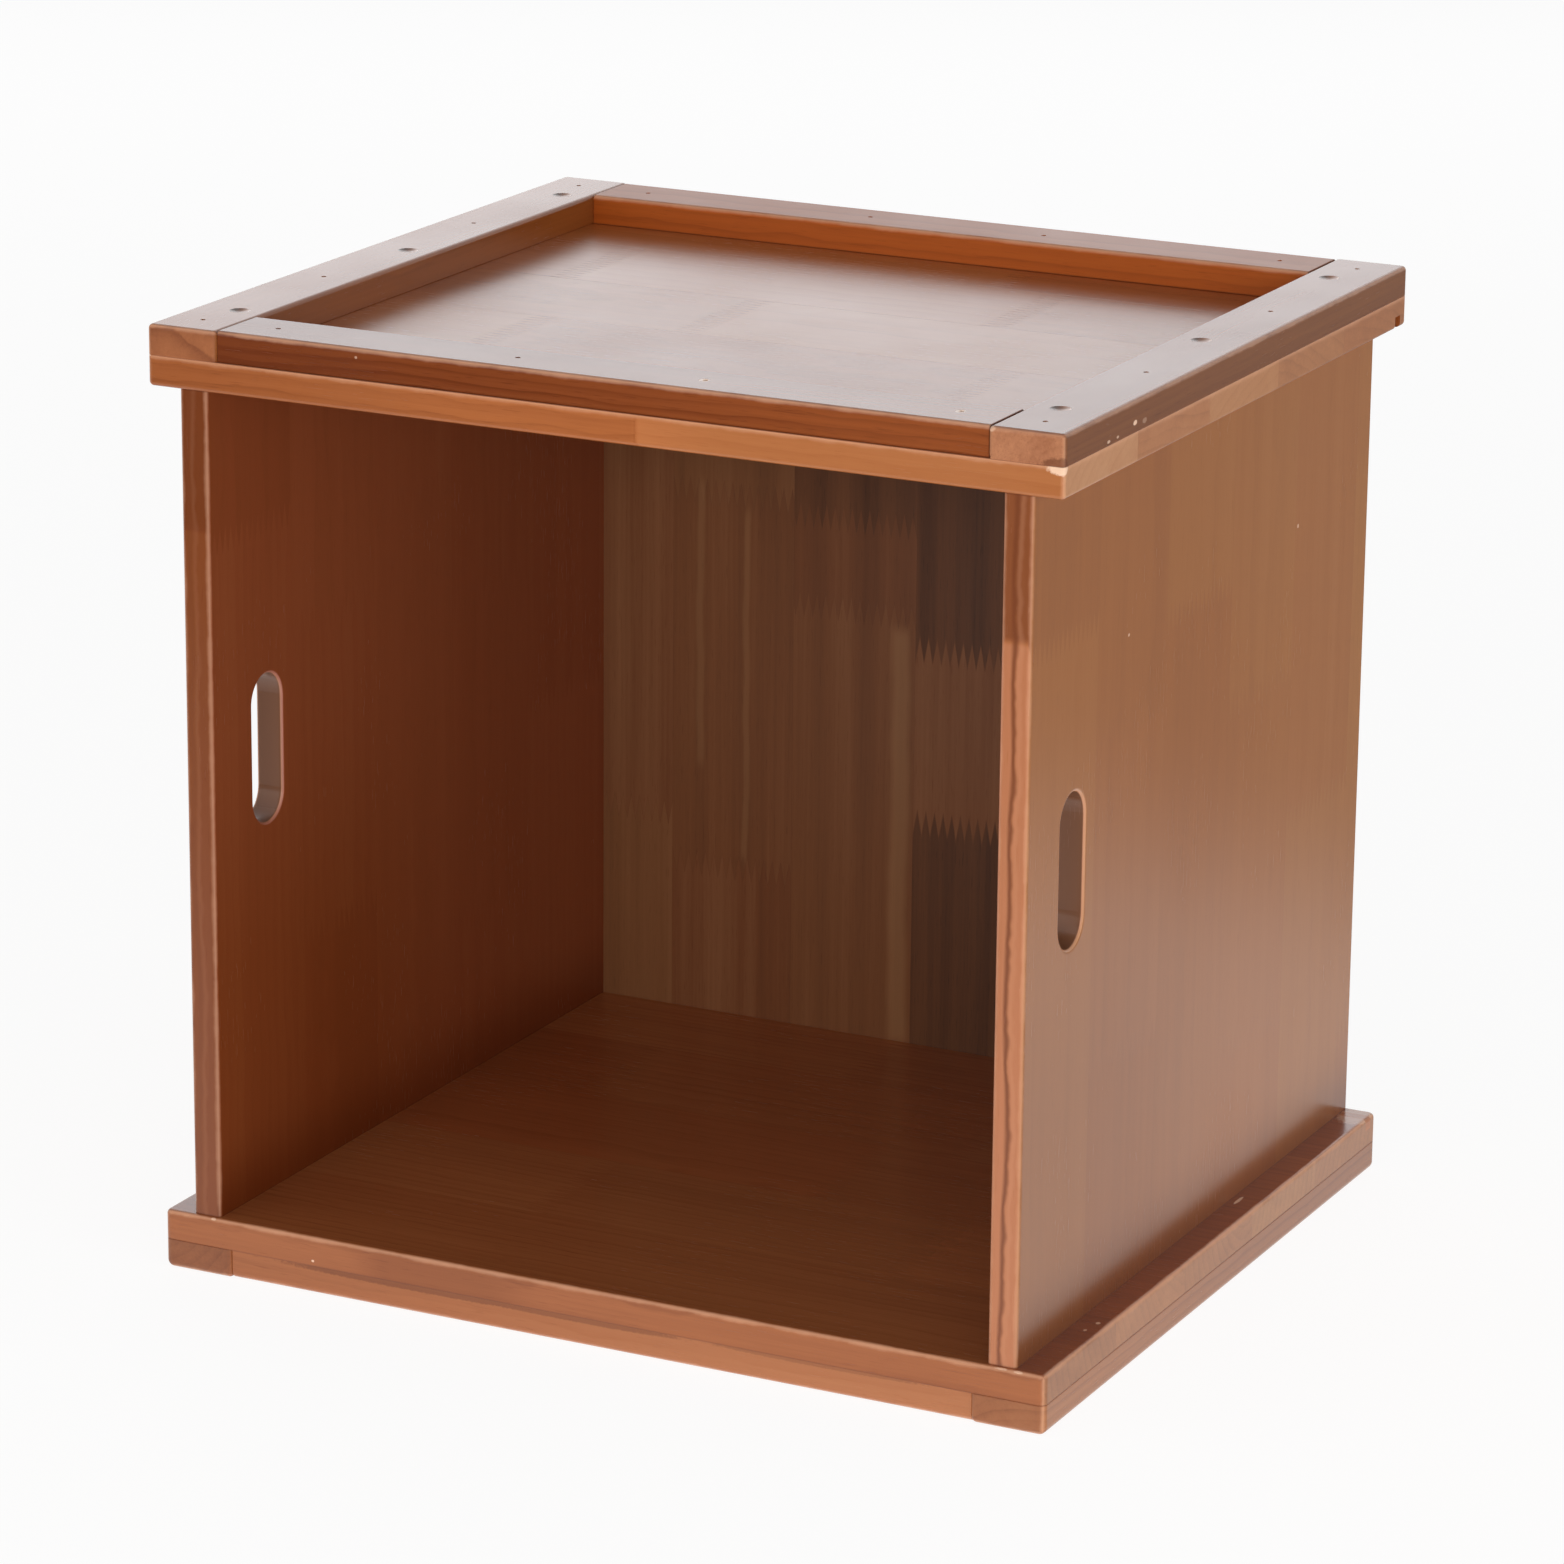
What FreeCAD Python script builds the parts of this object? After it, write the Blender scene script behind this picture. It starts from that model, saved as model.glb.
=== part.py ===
import FreeCAD, Part
import os

# An open-fronted crate for records, built from boards and rails, in millimetres.
# X runs from left to right, Y from the open front to the back, Z up.
# The origin lies on the floor under the middle of the base.

# Overall size
crate_width = 380.0
crate_depth = 332.0
crate_height = 380.0

# Panels
panel_thickness = 12.0       # top and bottom panels
side_thickness = 12.0
side_overhang = 12.5         # top and bottom panels past the sides' outer faces
side_front_setback = 2.0     # sides behind the panels' front edges
side_back_setback = 1.0      # sides ahead of the panels' back edges
edge_round = 1.8             # sanded edges of panels and rails
seam_round = 0.3             # edges along a glued seam, eased only a little

# Rails of the rim on top and of the base frame underneath
rail_width = 30.0
rail_height = 12.0
cross_rail_setback = 1.2     # front and back rails inside the panels' edges
base_round = 3.0             # upright corners and lower outer edges of the base

# Back panel and the grooves that hold it
back_thickness = 5.0
groove_margin = 6.0          # wood left behind the groove
groove_depth = 5.0
groove_play = 0.1            # clearance on each face of the back panel
back_expansion_gap = 0.6     # room at the back panel's top and side edges

# Hand slots through the sides
slot_length = 60.0
slot_width = 22.0
slot_from_front = 41.0       # from a side's front edge to the slot's middle
slot_above_middle = 15.5     # from half the crate's height to the slot's middle
slot_round = 1.5

# Screws through rail and panel into the edges of the sides
screws_per_rail = 3
screw_diameter = 4.0
screw_bite = 22.5            # length held by a side panel
screw_point = 5.0            # length of the tapered tip
screw_head_diameter = 7.6
screw_head_height = 3.0
screw_head_round = 1.2
screw_end_margin = 37.0      # from a rail's end to the first screw
screw_play = 0.05            # clearance round the shank
counterbore_diameter = 8.0
counterbore_depth = 6.5      # deep enough for a head and the plug above it
plug_play = 0.02             # clearance round a plug
plug_dish = 0.8              # how far the middle of a plug has sunk
drive_length = 4.6           # crossed slots of the drive recess
drive_width = 1.1
drive_depth = 1.6

# Brads through the rails into the panels
brad_diameter = 1.2
brad_bite = 7.5              # length held by a panel
brad_head_diameter = 2.0
brad_head_height = 0.8
brad_set = 0.5               # heads punched below the surface
brad_play = 0.02             # clearance round head and shank
side_brad_end_margin = 16.0  # from a side rail's end to its outer brads
side_brad_inner = 60.0       # from a side rail's middle to its inner brads
cross_brad_end_margin = 18.0
cross_brad_inner = 39.0

overcut = 2.0                # how far a cutting shape runs past the face that it opens
tolerance = 1e-6             # for finding edges by their place
quarter_turn_angle = 90.0    # degrees

# Heights and distances that follow from the sizes above
floor_top = rail_height + panel_thickness
ceiling = crate_height - floor_top
side_outer = crate_width / 2 - side_overhang
side_inner = side_outer - side_thickness
side_front = -crate_depth / 2 + side_front_setback
side_back = crate_depth / 2 - side_back_setback
groove_back = crate_depth / 2 - groove_margin
groove_front = groove_back - back_thickness - 2 * groove_play
cross_rail_length = crate_width - 2 * rail_width
cross_rail_outer = crate_depth / 2 - cross_rail_setback
screw_length = rail_height - counterbore_depth + panel_thickness + screw_bite
brad_length = rail_height - brad_set + brad_bite

up = FreeCAD.Vector(0, 0, 1)


def point(x, y, z):
    return FreeCAD.Vector(x, y, z)


def block(low, high):
    size = high - low
    return Part.makeBox(size.x, size.y, size.z, low)


def turned(shape, degrees):
    """The shape turned about the crate's upright middle line."""
    copy = shape.copy()
    copy.rotate(point(0, 0, 0), up, degrees)
    return copy


def group(solids):
    return Part.makeCompound(solids)


# Finding edges by their place, and rounding them

def lies_in(edge, axis, place):
    """True for an edge that lies in the plane where this axis has this value."""
    box = edge.BoundBox
    low = {"X": box.XMin, "Y": box.YMin, "Z": box.ZMin}[axis]
    high = {"X": box.XMax, "Y": box.YMax, "Z": box.ZMax}[axis]
    return abs(low - place) < tolerance and abs(high - place) < tolerance


def is_upright(edge):
    ends = edge.Vertexes
    return len(ends) == 2 and abs(ends[0].X - ends[1].X) + abs(ends[0].Y - ends[1].Y) < tolerance


def sanded(solid, radius, chosen):
    """The solid with each edge that the test chooses rounded."""
    return solid.makeFillet(radius, [edge for edge in solid.Edges if chosen(edge)])


# Panels

def full_board(bottom):
    low = point(-crate_width / 2, -crate_depth / 2, bottom)
    return block(low, point(crate_width / 2, crate_depth / 2, bottom + panel_thickness))


def groove(start, end, bottom, top):
    """The cutting shape of a stretch of the back panel's groove, from one X to another."""
    return block(point(start, groove_front, bottom), point(end, groove_back, top))


def top_panel():
    """Rounded at its corners and underneath, with a groove that runs out at both ends."""
    board = full_board(ceiling)
    board = sanded(board, edge_round, lambda edge: is_upright(edge) or lies_in(edge, "Z", ceiling))
    board = sanded(board, seam_round, lambda edge: lies_in(edge, "Z", ceiling + panel_thickness))
    reach = crate_width / 2 + overcut
    return board.cut(groove(-reach, reach, ceiling - overcut, ceiling + groove_depth))


def bottom_board():
    """The bottom panel before its groove is cut."""
    board = sanded(full_board(rail_height), base_round, is_upright)
    board = sanded(board, edge_round, lambda edge: lies_in(edge, "Z", floor_top))
    return sanded(board, seam_round, lambda edge: lies_in(edge, "Z", rail_height))


def bottom_panel():
    reach = crate_width / 2 + overcut
    return bottom_board().cut(groove(-reach, reach, floor_top - groove_depth, floor_top + overcut))


def groove_slips():
    """Slips of wood that fill the bottom groove's open ends, flush with the panel all round."""
    inner = side_inner + groove_depth
    reach = crate_width / 2 + overcut
    slips = []
    for start, end in ((-reach, -inner), (inner, reach)):
        stretch = groove(start, end, floor_top - groove_depth, floor_top + overcut)
        slips.append(bottom_board().common(stretch).Solids[0])
    return group(slips)


def hand_slot(middle_y, middle_z):
    """The cutting shape of a slot with round ends, right through a side at positive X."""
    start = side_inner - overcut
    length = side_thickness + 2 * overcut
    radius = slot_width / 2
    reach = slot_length / 2 - radius
    low = point(start, middle_y - radius, middle_z - reach)
    high = point(start + length, middle_y + radius, middle_z + reach)
    ends = []
    for z in (middle_z - reach, middle_z + reach):
        ends.append(Part.makeCylinder(radius, length, point(start, middle_y, z), point(1, 0, 0)))
    return block(low, high).fuse(ends).removeSplitter()


def is_slot_edge(edge, middle_y, middle_z):
    """True for the slot's outlines on a side's two faces."""
    box = edge.BoundBox
    flat = box.XLength < tolerance
    near_y = abs(box.Center.y - middle_y) < slot_width / 2 + tolerance
    near_z = abs(box.Center.z - middle_z) < slot_length / 2 + tolerance
    return flat and near_y and near_z


def right_side_panel():
    """A side with eased upright edges, the back panel's groove and the hand slot."""
    board = block(point(side_inner, side_front, floor_top), point(side_outer, side_back, ceiling))
    board = sanded(board, edge_round, is_upright)
    inner = side_inner - overcut
    board = board.cut(groove(inner, side_inner + groove_depth, floor_top - overcut, ceiling + overcut))
    middle_y = side_front + slot_from_front
    middle_z = crate_height / 2 + slot_above_middle
    board = board.cut(hand_slot(middle_y, middle_z))
    return sanded(board, slot_round, lambda edge: is_slot_edge(edge, middle_y, middle_z))


def back_panel():
    """A thin board that stands in the bottom groove, with room to swell at its other edges."""
    half_width = side_inner + groove_depth - back_expansion_gap
    front = groove_front + groove_play
    low = point(-half_width, front, floor_top - groove_depth)
    high = point(half_width, front + back_thickness, ceiling + groove_depth - back_expansion_gap)
    return block(low, high)


# Rails, each made at the right-hand side of the crate and then turned to its own side

def bar(outer, length, bottom):
    low = point(outer - rail_width, -length / 2, bottom)
    return block(low, point(outer, length / 2, bottom + rail_height))


def is_butt_edge(edge, length):
    """True for the edges of a rail's two ends."""
    return lies_in(edge, "Y", length / 2) or lies_in(edge, "Y", -length / 2)


def rim_rail(outer, length, full_length):
    """A rail glued down by its lower face. A full-length rail shows its ends, others are butted."""
    bottom = crate_height - rail_height

    def is_shown(edge):
        on_top = lies_in(edge, "Z", crate_height)
        if full_length:
            return on_top or is_upright(edge)
        return on_top and not is_butt_edge(edge, length)

    def is_seam(edge):
        return lies_in(edge, "Z", bottom) or (not full_length and is_butt_edge(edge, length))

    rail = sanded(bar(outer, length, bottom), edge_round, is_shown)
    return sanded(rail, seam_round, is_seam)


def base_rail(outer, length, full_length):
    """A rail glued on by its upper face, with the larger round where the crate meets the floor."""
    inner = outer - rail_width

    def is_outer_edge(edge):
        underneath = lies_in(edge, "Z", 0.0) and not lies_in(edge, "X", inner)
        corner = is_upright(edge) and lies_in(edge, "X", outer)
        if full_length:
            return underneath or corner
        return underneath and not is_butt_edge(edge, length)

    def is_inner_edge(edge):
        on_face = lies_in(edge, "X", inner) and not lies_in(edge, "Z", rail_height)
        return on_face and (full_length or not is_butt_edge(edge, length))

    def is_seam(edge):
        return lies_in(edge, "Z", rail_height) or (not full_length and is_butt_edge(edge, length))

    rail = sanded(bar(outer, length, 0.0), base_round, is_outer_edge)
    rail = sanded(rail, edge_round, is_inner_edge)
    return sanded(rail, seam_round, is_seam)


# Fasteners, each made head up with the underside of its head at the origin

def wood_screw():
    """A pan-head screw with a cross recess and a tapered tip."""
    head = Part.makeCylinder(screw_head_diameter / 2, screw_head_height)
    head = sanded(head, screw_head_round, lambda edge: lies_in(edge, "Z", screw_head_height))
    straight = screw_length - screw_point
    shank = Part.makeCylinder(screw_diameter / 2, straight, point(0, 0, -straight))
    tip = Part.makeCone(0, screw_diameter / 2, screw_point, point(0, 0, -screw_length))
    screw = head.fuse([shank, tip]).removeSplitter()
    for length, width in ((drive_length, drive_width), (drive_width, drive_length)):
        low = point(-length / 2, -width / 2, screw_head_height - drive_depth)
        screw = screw.cut(block(low, point(length / 2, width / 2, screw_head_height + overcut)))
    return screw


def screw_plug():
    """A wooden plug that stands on a screw's head. Its top has sunk to a shallow dish."""
    radius = counterbore_diameter / 2 - plug_play
    height = counterbore_depth - screw_head_height
    plug = Part.makeCylinder(radius, height, point(0, 0, screw_head_height))
    dish_radius = (radius ** 2 + plug_dish ** 2) / (2 * plug_dish)
    dish_middle = point(0, 0, counterbore_depth - plug_dish + dish_radius)
    return plug.cut(Part.makeSphere(dish_radius, dish_middle))


def brad():
    """A thin nail with a small head."""
    head = Part.makeCylinder(brad_head_diameter / 2, brad_head_height)
    straight = brad_length - brad_head_height
    shank = Part.makeCylinder(brad_diameter / 2, straight, point(0, 0, -straight))
    return head.fuse(shank).removeSplitter()


def way(head_radius, head_depth, shank_radius, shank_length):
    """The cutting shape for a fastener: a wide mouth above its seat, a narrow hole below."""
    mouth = Part.makeCylinder(head_radius, head_depth + overcut)
    hole = Part.makeCylinder(shank_radius, shank_length, point(0, 0, -shank_length))
    return mouth.fuse(hole)


def screw_way():
    return way(counterbore_diameter / 2, counterbore_depth, screw_diameter / 2 + screw_play, screw_length)


def brad_way():
    depth = brad_set + brad_head_height
    shank = brad_length - brad_head_height
    return way(brad_head_diameter / 2 + brad_play, depth, brad_diameter / 2 + brad_play, shank)


def driven(shape, spots, depth, from_above):
    """Copies of a fastener or of its way, one for each spot, with its seat at this depth."""
    copies = []
    for spot in spots:
        copy = shape.copy()
        if not from_above:
            copy.rotate(point(0, 0, 0), point(1, 0, 0), 2 * quarter_turn_angle)
        seat = crate_height - depth if from_above else depth
        copy.translate(point(spot.x, spot.y, seat))
        copies.append(copy)
    return copies


def spots_along(x, places, degrees):
    """Fastener places on a rail, turned with it to its side of the crate."""
    turn = FreeCAD.Rotation(up, degrees)
    return [turn.multVec(point(x, y, 0)) for y in places]


def screw_places():
    reach = crate_depth / 2 - screw_end_margin
    step = 2 * reach / (screws_per_rail - 1)
    return [-reach + step * index for index in range(screws_per_rail)]


def brad_places(length, end_margin, inner):
    outer = length / 2 - end_margin
    return [-outer, -inner, inner, outer]


def rail_layout(side):
    """How far out a rail's outer face lies, the rail's length, and where its brads go."""
    if side in ("left", "right"):
        places = brad_places(crate_depth, side_brad_end_margin, side_brad_inner)
        return crate_width / 2, crate_depth, places
    places = brad_places(cross_rail_length, cross_brad_end_margin, cross_brad_inner)
    return cross_rail_outer, cross_rail_length, places


# The whole crate, level by level. Each rail lies a quarter turn on from the one before it.

right_side = right_side_panel()
sides = {"right": right_side, "left": right_side.mirror(point(0, 0, 0), point(1, 0, 0))}
panels = {"rim": top_panel(), "base": bottom_panel()}
make_rail = {"rim": rim_rail, "base": base_rail}
brad_seat = brad_set + brad_head_height
screw_line = (side_outer + side_inner) / 2
parts = {"back_panel": back_panel(), "groove_slips": groove_slips()}

for level in ("rim", "base"):
    from_above = level == "rim"
    for quarter, side in enumerate(("right", "back", "left", "front")):
        degrees = quarter * quarter_turn_angle
        outer, length, places = rail_layout(side)
        rail = turned(make_rail[level](outer, length, side in sides), degrees)
        spots = spots_along(outer - rail_width / 2, places, degrees)
        ways = driven(brad_way(), spots, brad_seat, from_above)
        parts[level + "_brads_" + side] = group(driven(brad(), spots, brad_seat, from_above))
        if side in sides:
            spots = spots_along(screw_line, screw_places(), degrees)
            screw_ways = driven(screw_way(), spots, counterbore_depth, from_above)
            screws = driven(wood_screw(), spots, counterbore_depth, from_above)
            parts[level + "_screws_" + side] = group(screws)
            if from_above:
                plugs = driven(screw_plug(), spots, counterbore_depth, from_above)
                parts[level + "_plugs_" + side] = group(plugs)
            sides[side] = sides[side].cut(screw_ways)
            ways = ways + screw_ways
        panels[level] = panels[level].cut(ways)
        parts[level + "_rail_" + side] = rail.cut(ways)

parts["top_panel"] = panels["rim"]
parts["bottom_panel"] = panels["base"]
parts["side_panel_right"] = sides["right"]
parts["side_panel_left"] = sides["left"]

os.makedirs("parts", exist_ok=True)
for name, shape in sorted(parts.items()):
    shape.exportStep(os.path.join("parts", name + ".step"))
    print(name, len(shape.Solids), "solids,", round(shape.Volume / 1000, 2), "cm3, valid", shape.isValid())
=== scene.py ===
# %% [markdown]
# # Dressing a stackable record crate in stained, finger-jointed wood
# The crate is an open-fronted cube of edge-glued boards. Two long panels stand a little past the
# side panels, a thin back panel sits in grooves, and frames of four rails on the top and on the
# bottom let crates stand on one another. The construction model is finished, so this lesson adds
# no boards: it lights the crate, sets the camera, and builds the wood, lacquer and steel as
# materials made of nodes. Nothing here is a picture, so the finish holds at any distance.

# %% Load the crate
import math

import bpy
from mathutils import Matrix, Vector


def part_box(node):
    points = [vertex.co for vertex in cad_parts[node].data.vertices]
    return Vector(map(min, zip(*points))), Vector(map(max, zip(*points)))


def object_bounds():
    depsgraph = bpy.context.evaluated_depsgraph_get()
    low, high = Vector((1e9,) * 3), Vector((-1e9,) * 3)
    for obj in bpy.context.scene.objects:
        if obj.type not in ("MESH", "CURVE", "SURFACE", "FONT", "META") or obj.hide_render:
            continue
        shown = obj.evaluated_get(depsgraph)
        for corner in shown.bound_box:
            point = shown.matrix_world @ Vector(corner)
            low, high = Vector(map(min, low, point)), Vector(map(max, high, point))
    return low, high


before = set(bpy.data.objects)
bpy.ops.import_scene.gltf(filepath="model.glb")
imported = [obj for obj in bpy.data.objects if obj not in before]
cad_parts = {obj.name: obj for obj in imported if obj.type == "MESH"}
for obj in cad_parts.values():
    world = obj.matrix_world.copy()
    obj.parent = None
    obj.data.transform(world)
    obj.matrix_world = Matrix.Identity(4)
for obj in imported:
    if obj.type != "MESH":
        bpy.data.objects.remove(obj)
crate_low, crate_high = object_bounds()
mm = 0.001
print("pieces loaded:", len(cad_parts))
print("crate size in mm:", [round(side / mm, 1) for side in crate_high - crate_low])

# %% [markdown]
# ## The camera
# The crate is seen from its front right, a little from above, through a long lens that keeps its
# uprights nearly parallel. A camera can be aimed with a tracking constraint, but a constraint has
# no roll. Here the three axes of the camera are worked out from the azimuth, elevation and roll
# and written into its matrix.

# %% Camera
azimuth = math.radians(26.41)
elevation = math.radians(16.46)
roll = math.radians(0.52)
camera_place = Vector((1.076, -2.1722, 0.8989))
focal_length_mm = 146.83
sensor_width_mm = 36.0

backwards = Vector((
    math.sin(azimuth) * math.cos(elevation),
    -math.cos(azimuth) * math.cos(elevation),
    math.sin(elevation),
))
level = Vector((0, 0, 1)).cross(backwards).normalized()
upright = backwards.cross(level)
right = level * math.cos(roll) + upright * math.sin(roll)
up = upright * math.cos(roll) - level * math.sin(roll)

camera_data = bpy.data.cameras.new("crate_camera")
camera_data.sensor_width = sensor_width_mm
camera_data.lens = focal_length_mm
camera = bpy.data.objects.new("crate_camera", camera_data)
turned = Matrix((right, up, backwards)).transposed().to_4x4()
camera.matrix_world = Matrix.Translation(camera_place) @ turned
bpy.context.scene.collection.objects.link(camera)
bpy.context.scene.camera = camera
bpy.context.scene.view_settings.view_transform = "Standard"
print("camera at", [round(value, 3) for value in camera_place], "m")

# %% [markdown]
# ## Node helpers
# A material is a tree of small nodes. A few helpers keep the code short: one adds a node and fills
# its inputs by name, and the others add one step of arithmetic each. An input takes either a plain
# number or the output of another node.

# %% Helpers that place nodes
def connect(tree, socket, value):
    """Feeds an input from another node's output, or sets a plain value on it."""
    if isinstance(value, bpy.types.NodeSocket):
        tree.links.new(value, socket)
    else:
        socket.default_value = value


def place(tree, kind, inputs=(), **options):
    """Adds a node, sets its options and fills its inputs by name or number."""
    node = tree.nodes.new(kind)
    node.location = (200 * (len(tree.nodes) % 12), -260 * (len(tree.nodes) // 12))
    for name, option in options.items():
        setattr(node, name, option)
    for name, value in dict(inputs).items():
        connect(tree, node.inputs[name], value)
    return node


def calc(tree, operation, *values):
    """One step of arithmetic on numbers."""
    node = place(tree, "ShaderNodeMath", enumerate(values), operation=operation)
    return node.outputs["Value"]


def times(tree, first, *others):
    """The product of numbers."""
    for other in others:
        first = calc(tree, "MULTIPLY", first, other)
    return first


def minus(tree, first, second):
    """The difference of two numbers."""
    return calc(tree, "SUBTRACT", first, second)


def ramp(tree, value, slope, start):
    """A straight line: the value times the slope, plus the start."""
    return calc(tree, "MULTIPLY_ADD", value, slope, start)


def gap(tree, first, second):
    """How far two numbers lie apart."""
    return calc(tree, "ABSOLUTE", minus(tree, first, second))


def fade(tree, value, start, end):
    """A soft step that goes from 0 at start to 1 at end."""
    inputs = {"Value": value, "From Min": start, "From Max": end}
    node = place(tree, "ShaderNodeMapRange", inputs, interpolation_type="SMOOTHSTEP")
    return node.outputs["Result"]


def vector_calc(tree, operation, first, second=(0, 0, 0)):
    """One step of arithmetic on places or directions."""
    node = place(tree, "ShaderNodeVectorMath", {0: first, 1: second}, operation=operation)
    return node.outputs["Value" if operation == "LENGTH" else "Vector"]


def split(tree, vector):
    """The X, Y and Z of a place or direction."""
    return place(tree, "ShaderNodeSeparateXYZ", {"Vector": vector}).outputs


def join(tree, x, y=0.0, z=0.0):
    """A place or direction from its X, Y and Z."""
    return place(tree, "ShaderNodeCombineXYZ", {"X": x, "Y": y, "Z": z}).outputs["Vector"]


def empty_material(name):
    """A material with no nodes yet."""
    material = bpy.data.materials.new(name)
    material.use_nodes = True
    material.node_tree.nodes.clear()
    return material


print("helpers ready")

# %% [markdown]
# ## Floor, backdrop and light
# The crate stands on a pale sweep that runs back out of the picture, so the background is all
# floor. A floor lit up to white would flood the crate with light. Instead the floor asks each ray
# what it is. For the camera it is a white sheet that still darkens in the crate's shadow. For the
# light that bounces off it, it is an ordinary pale surface, with a glow close to the crate as from
# lamps hung low. Lacquer mirrors it as white beside the crate, dark far out in front and dim
# behind, as on a table in a darker room. That is why the lower part of each upright face is paler
# than its upper part.

# %% Floor
floor_half_width = 8.0
floor_drop = 0.2 * mm
floor_colour = (0.82, 0.82, 0.815, 1)
bounce_glow = 0.45
bounce_reach = (2.2, 0.5)
sheet_glow = 0.905
sheet_share = (0.15, 0.15, 0.149, 1)
mirror_front = (-1.2, -0.2)
mirror_back = (0.72, 0.34)
mirror_dim = 0.35


def emission(tree, strength):
    """A surface that only gives light."""
    return place(tree, "ShaderNodeEmission", {"Strength": strength}).outputs["Emission"]


def matt(tree, colour):
    """A surface that only scatters light."""
    return place(tree, "ShaderNodeBsdfDiffuse", {"Color": colour}).outputs["BSDF"]


corners = [(-1, -1), (1, -1), (1, 1), (-1, 1)]
floor_level = crate_low.z - floor_drop
floor_mesh = bpy.data.meshes.new("floor")
floor_mesh.from_pydata(
    [(x * floor_half_width, y * floor_half_width, floor_level) for x, y in corners],
    [],
    [(0, 1, 2, 3)],
)
floor = bpy.data.objects.new("floor", floor_mesh)
bpy.context.scene.collection.objects.link(floor)

floor_paint = empty_material("pale_floor")
tree = floor_paint.node_tree
ray = place(tree, "ShaderNodeLightPath").outputs
spot = place(tree, "ShaderNodeTexCoord").outputs["Object"]
backward = split(tree, spot)["Y"]
behind = ramp(tree, fade(tree, backward, *mirror_back), 1 - mirror_dim, mirror_dim)
mirrored = emission(tree, times(tree, fade(tree, backward, *mirror_front), behind))
reach = vector_calc(tree, "LENGTH", spot)
lit = emission(tree, times(tree, fade(tree, reach, *bounce_reach), bounce_glow))
bounce = place(tree, "ShaderNodeAddShader", {0: matt(tree, floor_colour), 1: lit}).outputs["Shader"]
glow = emission(tree, sheet_glow)
sheet = place(tree, "ShaderNodeAddShader", {0: matt(tree, sheet_share), 1: glow}).outputs["Shader"]
seen = calc(tree, "MAXIMUM", ray["Is Camera Ray"], ray["Is Transmission Ray"])
plain = place(tree, "ShaderNodeMixShader", {0: seen, 1: bounce, 2: sheet}).outputs["Shader"]
floor_shader = place(tree, "ShaderNodeMixShader", {0: ray["Is Glossy Ray"], 1: plain, 2: mirrored})
place(tree, "ShaderNodeOutputMaterial", {"Surface": floor_shader.outputs["Shader"]})
floor_mesh.materials.append(floor_paint)
print("floor laid at", round(floor_level, 4), "m")

# %% [markdown]
# Wide soft screens light the crate from low down, as windows and reflectors do, so the upright
# faces get more light than the tops. Lacquer would show each of them as a bright rectangle, so the
# screens to the sides, in front and above are kept out of its reflections. Only the screen at the
# back is mirrored. It lies where the tops send it to the camera, which gives satin lacquer its pale
# bloom at a low angle. The world only fills the shadows. Its level as a light and its whiteness as
# a backdrop are kept apart by the same question to each ray.

# %% Lamps and world
crate_middle = (crate_low + crate_high) / 2
warm = (1.0, 0.985, 0.96)
warmer = (1.0, 0.98, 0.95)
cool = (0.98, 0.965, 0.99)
fill_strength = 0.13


def soft_lamp(name, where, width, height, watts, tint, mirrored=False):
    """A rectangular soft box that faces the middle of the crate."""
    data = bpy.data.lights.new(name, "AREA")
    data.shape = "RECTANGLE"
    data.size = width
    data.size_y = height
    data.energy = watts
    data.color = tint
    lamp = bpy.data.objects.new(name, data)
    lamp.location = where
    lamp.rotation_euler = (crate_middle - Vector(where)).to_track_quat("-Z", "Y").to_euler()
    lamp.visible_camera = False
    lamp.visible_glossy = mirrored
    bpy.context.scene.collection.objects.link(lamp)
    print(name, "at", where, "gives", watts, "W")


soft_lamp("left_screen", (-2.2, -2.1, 0.62), 2.6, 1.1, 19.0, warm)
soft_lamp("front_screen", (0.9, -2.8, 0.62), 3.4, 1.1, 48.0, warm)
soft_lamp("right_screen", (2.8, -0.4, 0.72), 3.0, 1.1, 28.0, warmer)
soft_lamp("back_screen", (-1.3, 2.6, 1.25), 3.2, 1.5, 15.0, cool, mirrored=True)
soft_lamp("top_screen", (0.2, -0.4, 2.4), 2.0, 2.0, 5.0, warm)

world = bpy.data.worlds.new("studio")
world.use_nodes = True
tree = world.node_tree
tree.nodes.clear()
ray = place(tree, "ShaderNodeLightPath").outputs
seen = calc(tree, "MAXIMUM", ray["Is Camera Ray"], ray["Is Transmission Ray"])
seen = calc(tree, "MAXIMUM", seen, ray["Is Glossy Ray"])
white = (1, 1, 1, 1)
fill, backdrop = (
    place(tree, "ShaderNodeBackground", {"Color": white, "Strength": strength}).outputs["Background"]
    for strength in (fill_strength, 1.0)
)
sky = place(tree, "ShaderNodeMixShader", {0: seen, 1: fill, 2: backdrop})
place(tree, "ShaderNodeOutputWorld", {"Surface": sky.outputs["Shader"]})
bpy.context.scene.world = world
print("world fills at", fill_strength)

# %% [markdown]
# ## Node groups
# Every board shares the same few effects, so each effect is a node group with named sockets that
# is built once. A material places the group and gives it its own values. The socket's kind follows
# from its first value: a number, three numbers for a direction, or four for a colour.

# %% A way to start a group
socket_kinds = {1: "NodeSocketFloat", 3: "NodeSocketVector", 4: "NodeSocketColor"}


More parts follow.
